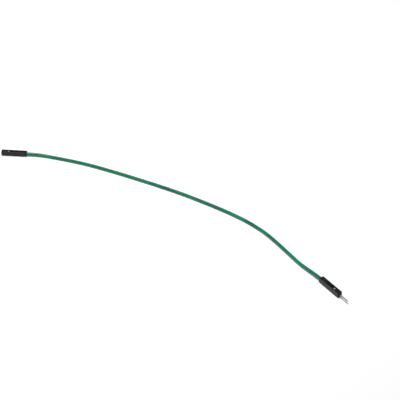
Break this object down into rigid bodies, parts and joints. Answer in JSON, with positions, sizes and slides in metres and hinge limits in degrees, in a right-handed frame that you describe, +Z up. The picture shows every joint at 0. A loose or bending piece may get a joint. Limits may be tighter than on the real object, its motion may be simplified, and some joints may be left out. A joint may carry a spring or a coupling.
{
  "type": "breadboard jumper wire",
  "caption": "Flexible insulated jumper lead lying in a loose curve, with a square socket housing at its left end and a square housing with a slim tapered pin at its right end.",
  "frame": {"origin": "on the surface that the wire lies on, under the middle of the box round the two housings and the pin", "axes": "+X from the socket end to the pin end, +Y to the side that the lead bows to, +Z up"},
  "size_m": [0.2188, 0.0289, 0.0025],
  "materials": {
    "housing": "moulded black nylon, fine satin",
    "contact": "tin plated, bright",
    "insulation": "extruded green vinyl, glossy",
    "strand": "tinned copper, drawn"
  },
  "bodies": {
    "root": {"socket_housing": "housing", "pin_housing": "housing", "socket_contact": "contact", "pin_contact": "contact", "wire_insulation": "insulation", "strand_1": "strand", "strand_2": "strand", "strand_3": "strand", "strand_4": "strand", "strand_5": "strand", "strand_6": "strand", "strand_7": "strand"}
  },
  "joints": []
}
